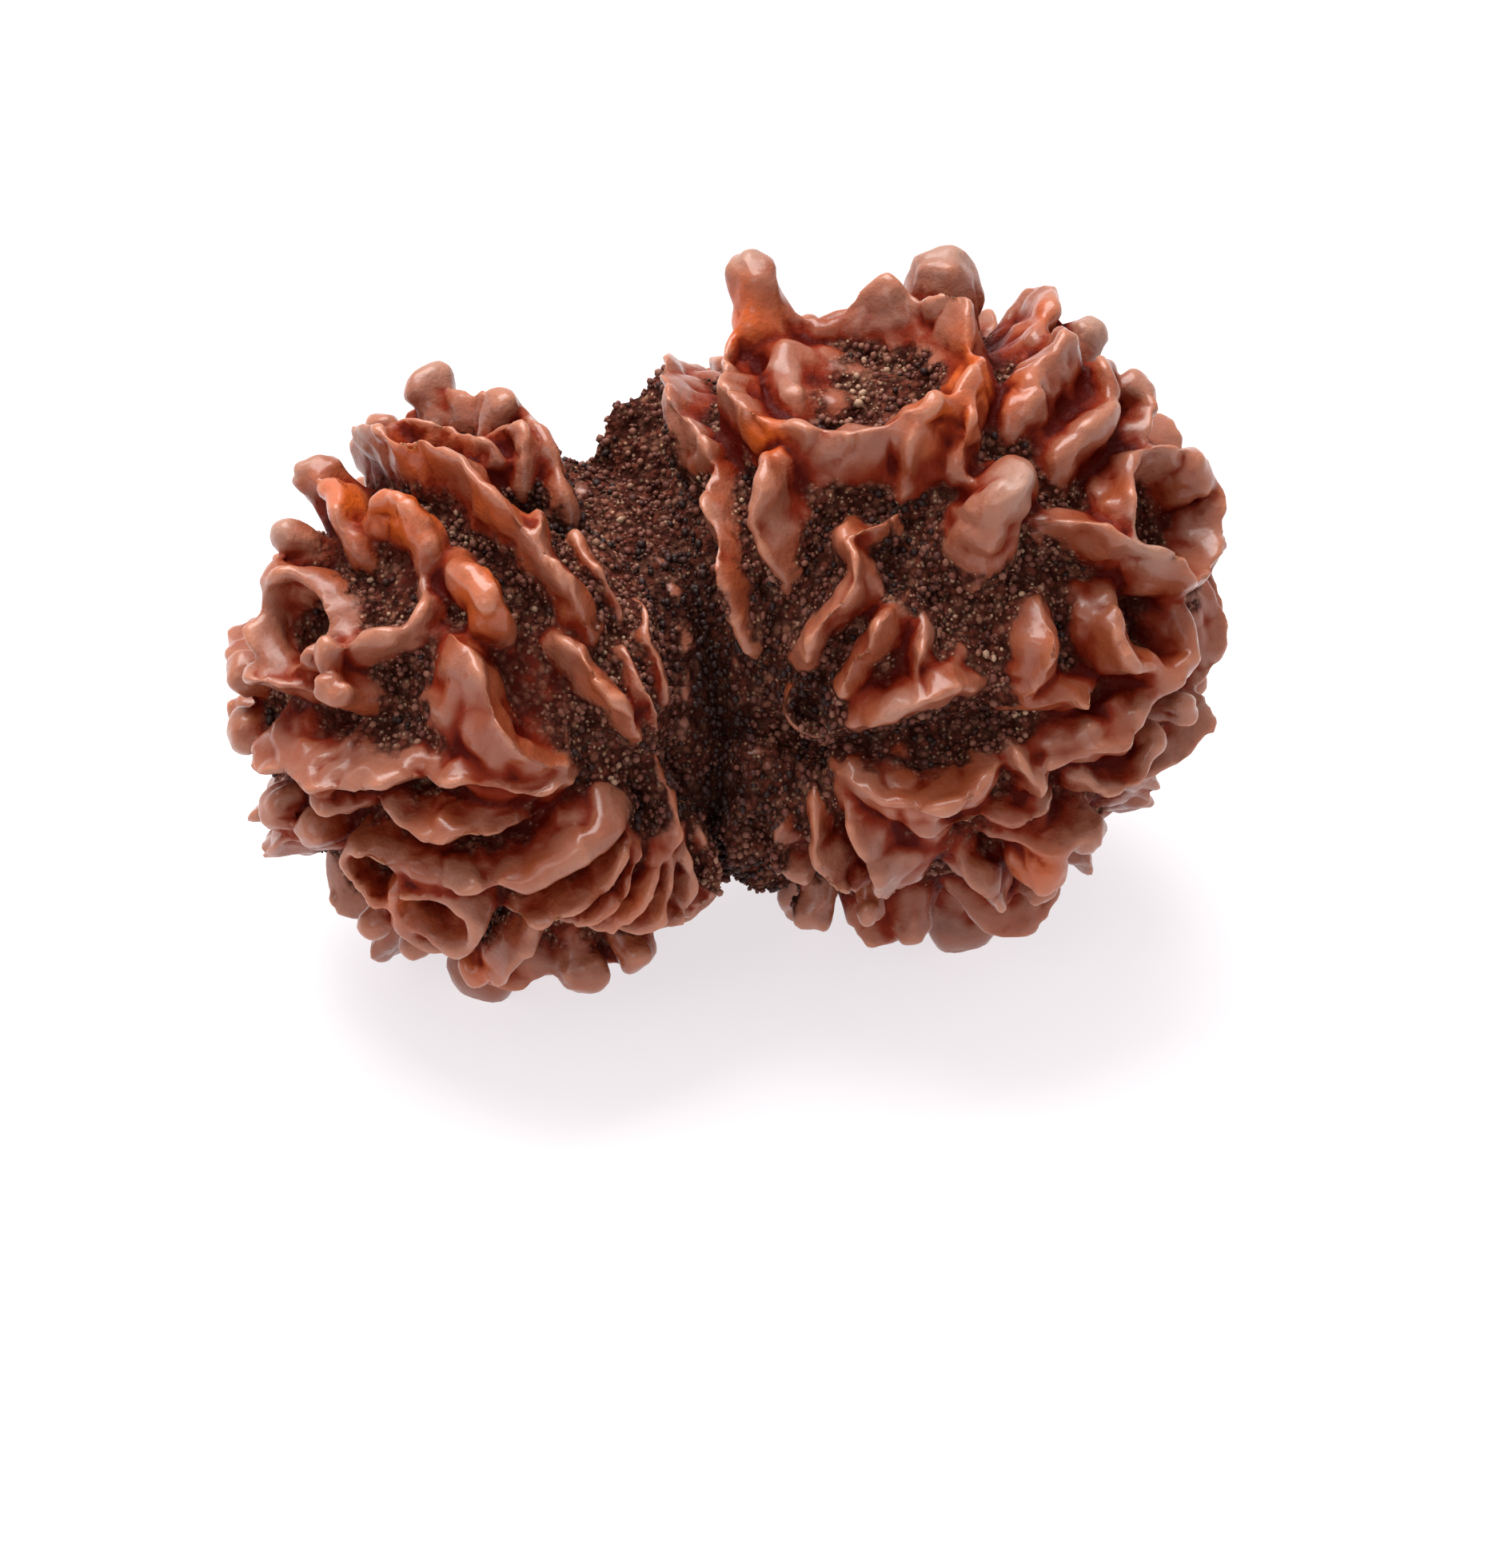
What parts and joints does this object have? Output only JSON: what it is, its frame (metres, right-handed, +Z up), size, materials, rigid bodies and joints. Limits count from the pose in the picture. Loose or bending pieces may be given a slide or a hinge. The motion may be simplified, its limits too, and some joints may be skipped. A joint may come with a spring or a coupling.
{
  "type": "rudraksha bead",
  "caption": "Twin rudraksha bead of round stones grown together, with gnarled ridges, knobs and cup-shaped hollows, for prayer beads, pendants and display.",
  "frame": {"origin": "middle of the bounding box in x and y, on the surface that the bead rests on", "axes": "+X from the smaller stone to the larger one, along the line that they grew together on; -Y the side that the front poles look to; +Z up"},
  "size_m": [0.034, 0.0233, 0.0238],
  "materials": {
    "husk": "waxed and semi-glossy on the ridges, dark and gritty in the valleys"
  },
  "bodies": {
    "root": {"twin_bead": "husk"}
  },
  "joints": []
}
